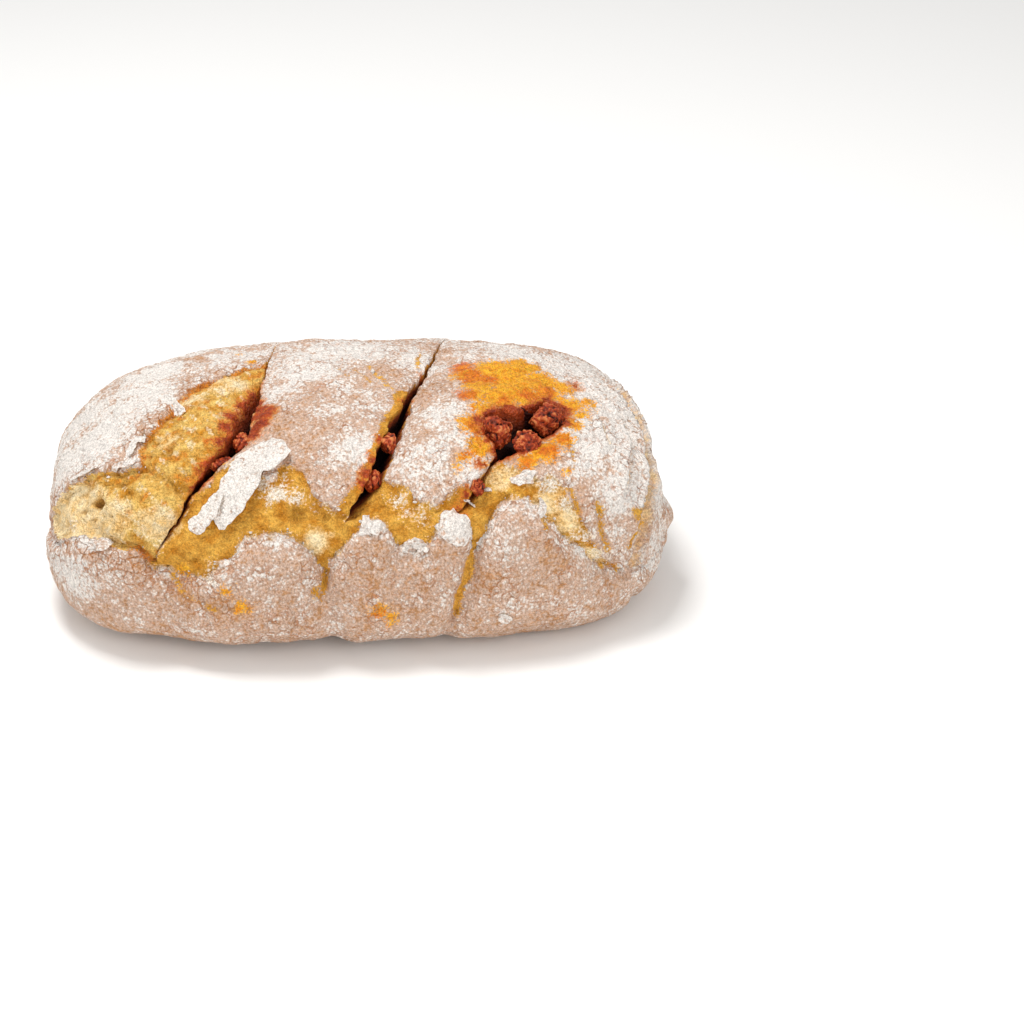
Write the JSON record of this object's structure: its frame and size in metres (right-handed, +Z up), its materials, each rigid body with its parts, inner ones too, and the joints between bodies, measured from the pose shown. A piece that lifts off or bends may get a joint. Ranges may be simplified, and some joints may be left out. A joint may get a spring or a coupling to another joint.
{
  "type": "filled flatbread",
  "caption": "Plump floured flatbread with a flat base, diagonal slashes across its top and crumbs of sausage filling showing in them.",
  "frame": {"origin": "on the surface the loaf rests on, under the middle of its box", "axes": "+X along the loaf to its pinched right end, +Y to its back, +Z up"},
  "size_m": [0.2308, 0.144, 0.081],
  "materials": {
    "crust": "matt baked dough under a dusting of flour, golden where the crust has split",
    "sausage": "oily cooked meat, dark red-brown"
  },
  "bodies": {
    "root": {"loaf": "crust", "filling_left_upper": "sausage", "filling_left_lower": "sausage", "filling_middle_upper": "sausage", "filling_middle_lower": "sausage", "filling_pit_left": "sausage", "filling_pit_right": "sausage", "filling_pit_front": "sausage", "filling_pit_back": "sausage", "filling_right_slit": "sausage"}
  },
  "joints": []
}
